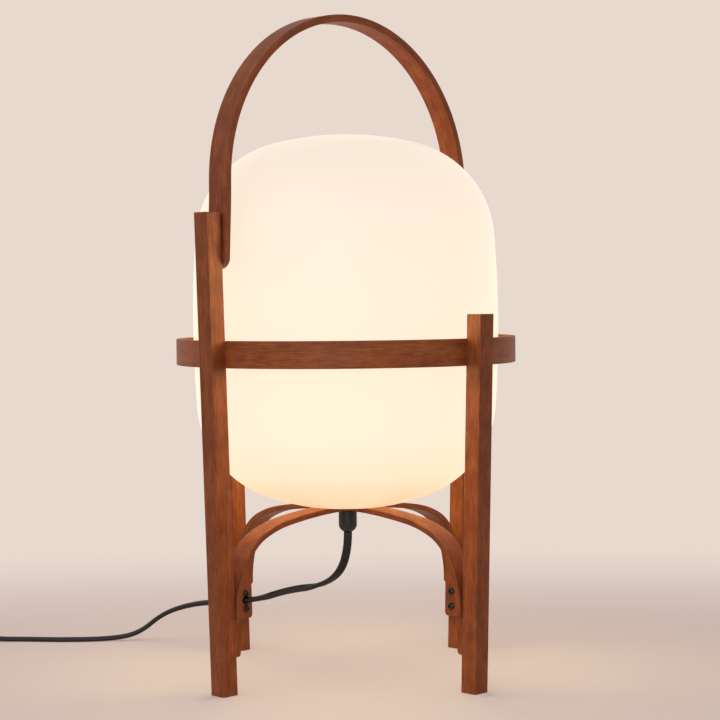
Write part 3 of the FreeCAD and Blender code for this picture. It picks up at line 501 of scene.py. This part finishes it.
def along_the_arch(side):
    """Coordinates for the arch on one diagonal (1) or the other (-1)."""
    def places(x, y, z):
        inwards = (x + y * side) * HALF
        outwards = (abs(inwards) / ARCH_REACH) ** ARCH_POWER
        bow = outwards + z.between(ARCH_LOW, ARCH_TOP) ** ARCH_POWER
        return (x - y * side) * HALF, bow * ARCH_DEPTH, inwards, z
    return places


for seed, leg in enumerate(("front_left", "front_right", "back_left", "back_right")):
    wear(wood("leg_wood_" + leg, up_a_leg, seed * 3.1), "leg_" + leg)
wear(wood("hoop_wood", round_the_hoop, 17.0, 0.08), "hoop")
wear(wood("handle_wood", over_the_handle, 23.0), "carry_handle")
wear(wood("arch_over_wood", along_the_arch(1), 29.0), "arch_over")
wear(wood("arch_under_wood", along_the_arch(-1), 31.0), "arch_under")

# %% [markdown]
# ## Opal globe
# The globe is blown opal glass with a satin skin, and its bulb is lit. The glass spreads the
# light so well that the bulb itself can't be seen, so the surface simply glows: warm white,
# a little deeper in colour near the mouth.

# %% Globe
GLOBE_LOW = 0.148
GLOBE_HIGH = 0.4758
GLOW_STOPS = [
    (0.0, (0.88, 0.58, 0.33)),
    (0.10, (0.94, 0.76, 0.52)),
    (0.20, (0.97, 0.82, 0.615)),
    (0.55, (0.94, 0.80, 0.62)),
    (0.77, (0.91, 0.765, 0.61)),
    (1.0, (0.79, 0.68, 0.57)),
]

globe = finish("opal_glass")
x, y, z = globe.axes()
rise = z.between(GLOBE_LOW, GLOBE_HIGH)
globe.shows(
    base_color=(0.12, 0.117, 0.112),
    roughness=0.45,
    specular_ior_level=0.3,
    emission_color=globe.node("ShaderNodeValToRGB", {"stops": GLOW_STOPS}, {0: rise}),
    emission_strength=1.0,
)
wear(globe.block, "globe_shade")

# %% [markdown]
# ## Black pieces
# The cord's jacket is soft vinyl with a dull shine. Gland, switch and plug are moulded, with
# a very fine grain in the mould. The screws are steel with a thin black coat. They differ in
# how dark and how shiny they are, so one recipe with a few numbers makes them all.

# %% Cord jacket, moulded plastic and black steel
PATCH = 0.02  # metres, about how wide the paler patches are
GRAIN_DEEP = 0.0001
PALER = 1.7


def black(name, colour, shine, rougher, size, strength):
    """A dark finish whose shine varies with a fine grain of the given size in metres."""
    dark = finish(name)
    x, y, z = dark.axes()
    cloud = dark.noise(x / size, y / size, z / size, 0.0, 2.0)
    patch = dark.noise(x / PATCH, y / PATCH, z / PATCH, 4.0, 1.0)
    dark.shows(
        base_color=dark.blend(patch, colour, tuple(PALER * c for c in colour)),
        roughness=shine + cloud * rougher,
        normal=dark.bump(cloud, strength, GRAIN_DEEP),
        specular_ior_level=0.35,
    )
    return dark.block


jacket = black("cord_jacket", (0.006, 0.0055, 0.005), 0.36, 0.16, 0.0012, 0.15)
cord.data.materials.append(jacket)
wear(jacket, "lead_in_nipple")
moulded = black("moulded_black", (0.018, 0.016, 0.014), 0.32, 0.2, 0.0007, 0.25)
wear(moulded, "cord_gland", "switch_base", "switch_cover", "plug_body")
rocker = black("rocker_black", (0.02, 0.02, 0.02), 0.22, 0.1, 0.0007, 0.1)
wear(rocker, "switch_rocker")
coated = black("coated_screw", (0.010, 0.0095, 0.009), 0.18, 0.15, 0.0008, 0.2)
wear(coated, "arch_screws", "handle_screws", "hoop_screws", "grip_screw")

# %% [markdown]
# ## Lampholder and bulb
# They are out of sight while the globe is down, but they show when it is lifted: a white
# moulded holder with a brass thread, plated plates and a frosted bulb with a pressed cap.

# %% Metals, ceramic and frosted glass
def metal(name, colour, roughness):
    """Metal with faint smears in its shine."""
    bright = finish(name)
    x, y, z = bright.axes()
    smear = bright.noise(x * 300, y * 300, z * 60, 0.0, 2.0)
    bright.shows(base_color=colour, metallic=1.0, roughness=roughness + smear * 0.15)
    return bright.block


def pale(name, colour, roughness, **more):
    """Glazed or moulded white with a soft waviness."""
    white = finish(name)
    x, y, z = white.axes()
    wave = white.noise(x * 220, y * 220, z * 220, 0.0, 1.0)
    white.shows(
        base_color=colour,
        roughness=roughness + wave * 0.08,
        normal=white.bump(wave, 0.08, 0.0004),
        **more,
    )
    return white.block


plated = metal("plated_steel", (0.58, 0.57, 0.55), 0.24)
wear(plated, "seat_plate", "threaded_nipple", "lock_nut")
wear(metal("plain_brass", (0.66, 0.46, 0.18), 0.26), "centre_contact", "threaded_insert")
wear(metal("pressed_aluminium", (0.72, 0.72, 0.71), 0.28), "bulb_cap")
wear(pale("holder_white", (0.72, 0.71, 0.68), 0.38), "lampholder_shell")
wear(pale("ceramic_white", (0.76, 0.75, 0.71), 0.2), "contact_block")
frosted = pale(
    "frosted_bulb", (0.80, 0.78, 0.72), 0.5,
    emission_color=(1.0, 0.82, 0.58), emission_strength=0.6,
)
wear(frosted, "bulb_glass")

# %% [markdown]
# ## Plug pins
# Each pin has a black sleeve next to the plug and is bare metal towards its tip. The two are
# one solid, so the finish changes from one to the other at the sleeve's end.

# %% Sleeved pins
SLEEVE_END = -0.396
SLEEVE_BLACK = (0.014, 0.0135, 0.013)
PIN_METAL = (0.66, 0.62, 0.55)

pins = finish("sleeved_pins")
x, y, z = pins.axes()
bare = x.between(SLEEVE_END - HAIR, SLEEVE_END + HAIR)
pins.shows(
    base_color=pins.blend(bare, SLEEVE_BLACK, PIN_METAL),
    metallic=bare,
    roughness=0.42 - bare * 0.16,
)
wear(pins.block, "plug_pins")

# %% [markdown]
# ## Floor and light
# The sky is pale, and lighter on the left than on the right, so that legs and hoop get a
# lighter and a darker side, as the photograph has. The camera and the reflections see the
# even colour of a backdrop in its place, which keeps the picture calm behind the lamp.

# %% Sky
BACKDROP = (0.807, 0.694, 0.624)
LEFT_SKY = (0.76, 0.745, 0.74)
RIGHT_SKY = (0.36, 0.36, 0.37)


def looked_at(net):
    """1 for a ray that shows a backdrop, straight or in a reflection, and 0 for light."""
    camera, glossy, through = (
        net.node("ShaderNodeLightPath", out="Is %s Ray" % kind)
        for kind in ("Camera", "Glossy", "Transmission")
    )
    return (camera + glossy + through).between(0, 1)


world = bpy.data.worlds.new("studio")
bpy.context.scene.world = world
sky = Net(world, "Background")
x, y, z = sky.axes()
open_sky = sky.blend(x.between(-1, 1), LEFT_SKY, RIGHT_SKY)
sky.put(sky.surface.inputs["Color"], sky.blend(looked_at(sky), open_sky, BACKDROP))
print("sky from", LEFT_SKY, "to", RIGHT_SKY)

# %% [markdown]
# The floor is a plain pale surface near the lamp, so that it keeps the lamp's shadow. A
# little glow of its own lifts it to the backdrop's lightness. Further out it fades into the
# backdrop, so that no horizon shows, and twice as far to the sides as to the back.

# %% Floor
BOUNCING = (0.52, 0.47, 0.43)  # the floor's colour for light that it throws back up
NEAR_FLOOR = (0.305, 0.270, 0.272)
FLOOR_LIFT = (0.330, 0.24, 0.225)
BLACK = (0, 0, 0)
FLOOR_RADIUS = 14
FADE_FROM = 0.14
FADE_TO = 0.85

bpy.ops.mesh.primitive_circle_add(vertices=96, radius=FLOOR_RADIUS, fill_type="NGON")
floor = bpy.context.object
floor.name = "floor"
ground = finish("pale_floor")
x, y, z = ground.axes()
seen = looked_at(ground)
fade = ((x * x * 0.25 + y * y) ** 0.5).between(FADE_FROM, FADE_TO).eased() * seen
lift = ground.blend(seen, BLACK, FLOOR_LIFT)
ground.shows(
    base_color=ground.blend(fade, ground.blend(seen, BOUNCING, NEAR_FLOOR), BLACK),
    emission_color=ground.blend(fade, lift, BACKDROP),
    emission_strength=1.0,
    roughness=0.8,
    specular_ior_level=0.0,
)
floor.data.materials.append(ground.block)
print("floor fades between", FADE_FROM, "and", FADE_TO, "m")

# %% [markdown]
# Three soft square lamps shine on it from outside: a large one high on the left, a smaller
# one beside the camera for the fronts, and a weak, warm one on the right that keeps the dark
# sides readable. All three are large, because a small lamp would draw hard shadows.

# %% Lamps
COOL = (0.95, 0.97, 1.0)
WARM = (1.0, 0.94, 0.88)


def soft_lamp(name, place, target_height, size, watts, colour):
    """A square lamp that faces a point on the axis."""
    data = bpy.data.lights.new(name, "AREA")
    data.size = size
    data.energy = watts
    data.color = colour
    lamp = bpy.data.objects.new(name, data)
    lamp.location = place
    towards = Vector((0, 0, target_height)) - Vector(place)
    lamp.rotation_euler = towards.to_track_quat("-Z", "Y").to_euler()
    bpy.context.scene.collection.objects.link(lamp)
    print(name, "lamp of", watts, "W,", round(towards.length, 2), "m away")


soft_lamp("key", (-1.4, -1.7, 1.7), 0.25, 1.4, 10, COOL)
soft_lamp("front", (-0.35, -2.6, 0.7), 0.30, 0.7, 10.5, COOL)
soft_lamp("fill", (1.8, -0.9, 1.2), 0.25, 1.6, 2, WARM)

# %% [markdown]
# The bulb's light has to come through the opal glass. A glass that scatters light inside
# itself would need many samples, so the globe glows as a plain surface, and round lamps inside
# it shine straight through it: light linking leaves glass, bulb and holder out of what stops
# their light. Legs, hoop and arches still throw their soft shadows. Handle and hoop are so
# near the glass that they get only the weakest lamp, and the front legs get one more.

# %% The globe's light on what stands round it
INSIDE = (
    "globe_shade", "bulb_glass", "bulb_cap", "lampholder_shell", "contact_block",
    "centre_contact", "threaded_insert", "seat_plate", "lock_nut", "threaded_nipple",
)
GOLDEN = (1.0, 0.92, 0.38)
ORANGE = (1.0, 0.72, 0.30)
GLOW_RADIUS = 0.130


def linked(name, piece_names, state):
    """A collection for light linking, of the named pieces or of all but those."""
    group = bpy.data.collections.new(name)
    for piece_name in piece_names:
        group.objects.link(bpy.data.objects[piece_name])
    for member in group.collection_objects:
        member.light_linking.link_state = state
    return group


stops_light = linked("all_but_the_globe", INSIDE, "EXCLUDE")
side_glow = linked("all_but_handle_and_hoop", ("carry_handle", "hoop"), "EXCLUDE")
front_legs = linked("front_legs", ("leg_front_left", "leg_front_right"), "INCLUDE")
for height, watts, colour, lights_up in (
    (0.33, 2.3, GOLDEN, side_glow),
    (0.40, 2.3, GOLDEN, side_glow),
    (0.35, 8.0, ORANGE, front_legs),
    (0.36, 1.0, ORANGE, None),
):
    data = bpy.data.lights.new("inside_globe", "POINT")
    data.shadow_soft_size = GLOW_RADIUS
    data.energy = watts
    data.color = colour
    inside = bpy.data.objects.new("inside_globe", data)
    inside.location = (0, 0, height)
    inside.visible_camera = False
    inside.visible_glossy = False
    bpy.context.scene.collection.objects.link(inside)
    inside.light_linking.blocker_collection = stops_light
    inside.light_linking.receiver_collection = lights_up
    lit = lights_up.name if lights_up else "everything"
    print("inside lamp of", watts, "W at", height, "m lights", lit)

# %% [markdown]
# ## Colours as they are
# The Standard view shows colours without a film curve.

# %% View
bpy.context.scene.view_settings.view_transform = "Standard"
